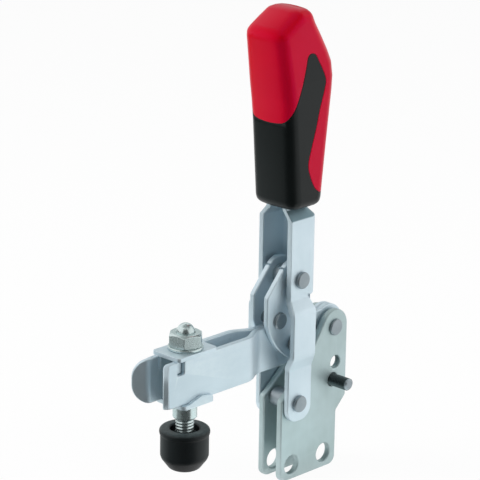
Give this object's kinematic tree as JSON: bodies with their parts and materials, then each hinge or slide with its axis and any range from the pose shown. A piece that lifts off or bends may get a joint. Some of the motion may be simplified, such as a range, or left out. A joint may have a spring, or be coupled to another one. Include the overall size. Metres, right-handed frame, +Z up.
{
  "type": "vertical toggle clamp",
  "caption": "Vertical toggle clamp with side-plate base, open clamping arm, screw spindle with rubber cap and a two-colour grip.",
  "frame": {"origin": "midway between the two fixing holes of the base, on the mid-plane between the base plates", "axes": "+Z up towards the grip, -X along the clamping arm towards the spindle, +X to the rear, Y across the clamp along the hole and pivot axes"},
  "size_m": [0.0886, 0.0254, 0.1605],
  "materials": {
    "zinc_steel": "bright zinc plating, slightly bluish",
    "bare_steel": "turned steel, zinc plated",
    "nut_steel": "zinc plating, slightly greenish",
    "cap_rubber": "matt black rubber",
    "grip_red": "satin red moulding",
    "grip_black": "soft-touch black moulding"
  },
  "bodies": {
    "base": {"base_plate_left": "zinc_steel", "base_plate_right": "zinc_steel", "base_bush": "bare_steel", "arm_rivet": "bare_steel", "arm_washer_left": "zinc_steel", "arm_washer_right": "zinc_steel", "stop_pin": "bare_steel"},
    "handle": {"handle_lever": "zinc_steel", "handle_rivet": "bare_steel", "link_top_rivet": "bare_steel", "link_bush": "bare_steel", "link_spacer_left": "bare_steel", "link_spacer_right": "bare_steel", "grip_body": "grip_red", "grip_soft": "grip_black"},
    "arm": {"arm_plate_left": "zinc_steel", "arm_plate_right": "zinc_steel", "arm_bush": "bare_steel", "arm_link_pin": "bare_steel", "upper_saddle": "zinc_steel", "lower_saddle": "zinc_steel", "spindle_washer": "nut_steel", "spindle_nut": "nut_steel", "spindle_collar": "bare_steel"},
    "links": {"link_plate_left": "zinc_steel", "link_plate_right": "zinc_steel", "stop_rivet_left": "bare_steel", "stop_rivet_right": "bare_steel", "link_rivet_left": "bare_steel", "link_rivet_right": "bare_steel"},
    "spindle": {"spindle_screw": "bare_steel", "rubber_cap": "cap_rubber"}
  },
  "joints": [
    {"name": "handle_pivot", "type": "hinge", "parent": "base", "child": "handle", "pos_m": [-0.0075, 0, 0.0223], "axis": [0, 1, 0], "range_deg": [0, 61]},
    {"name": "arm_pivot", "type": "hinge", "parent": "base", "child": "arm", "pos_m": [0.012, 0, 0.0435], "axis": [0, 1, 0], "range_deg": [0, 110.2]},
    {"name": "link_pivot", "type": "hinge", "parent": "handle", "child": "links", "pos_m": [-0.0074, 0, 0.0649], "axis": [0, 1, 0], "range_deg": [0, 87]},
    {"name": "spindle_height", "type": "slide", "parent": "arm", "child": "spindle", "axis": [0, 0, 1], "range_m": [-0.002, 0.003]}
  ],
  "couplings": [
    {"joint": "arm_pivot", "follows": "handle_pivot", "ratio": 1.8059},
    {"joint": "link_pivot", "follows": "handle_pivot", "ratio": 1.4247}
  ]
}
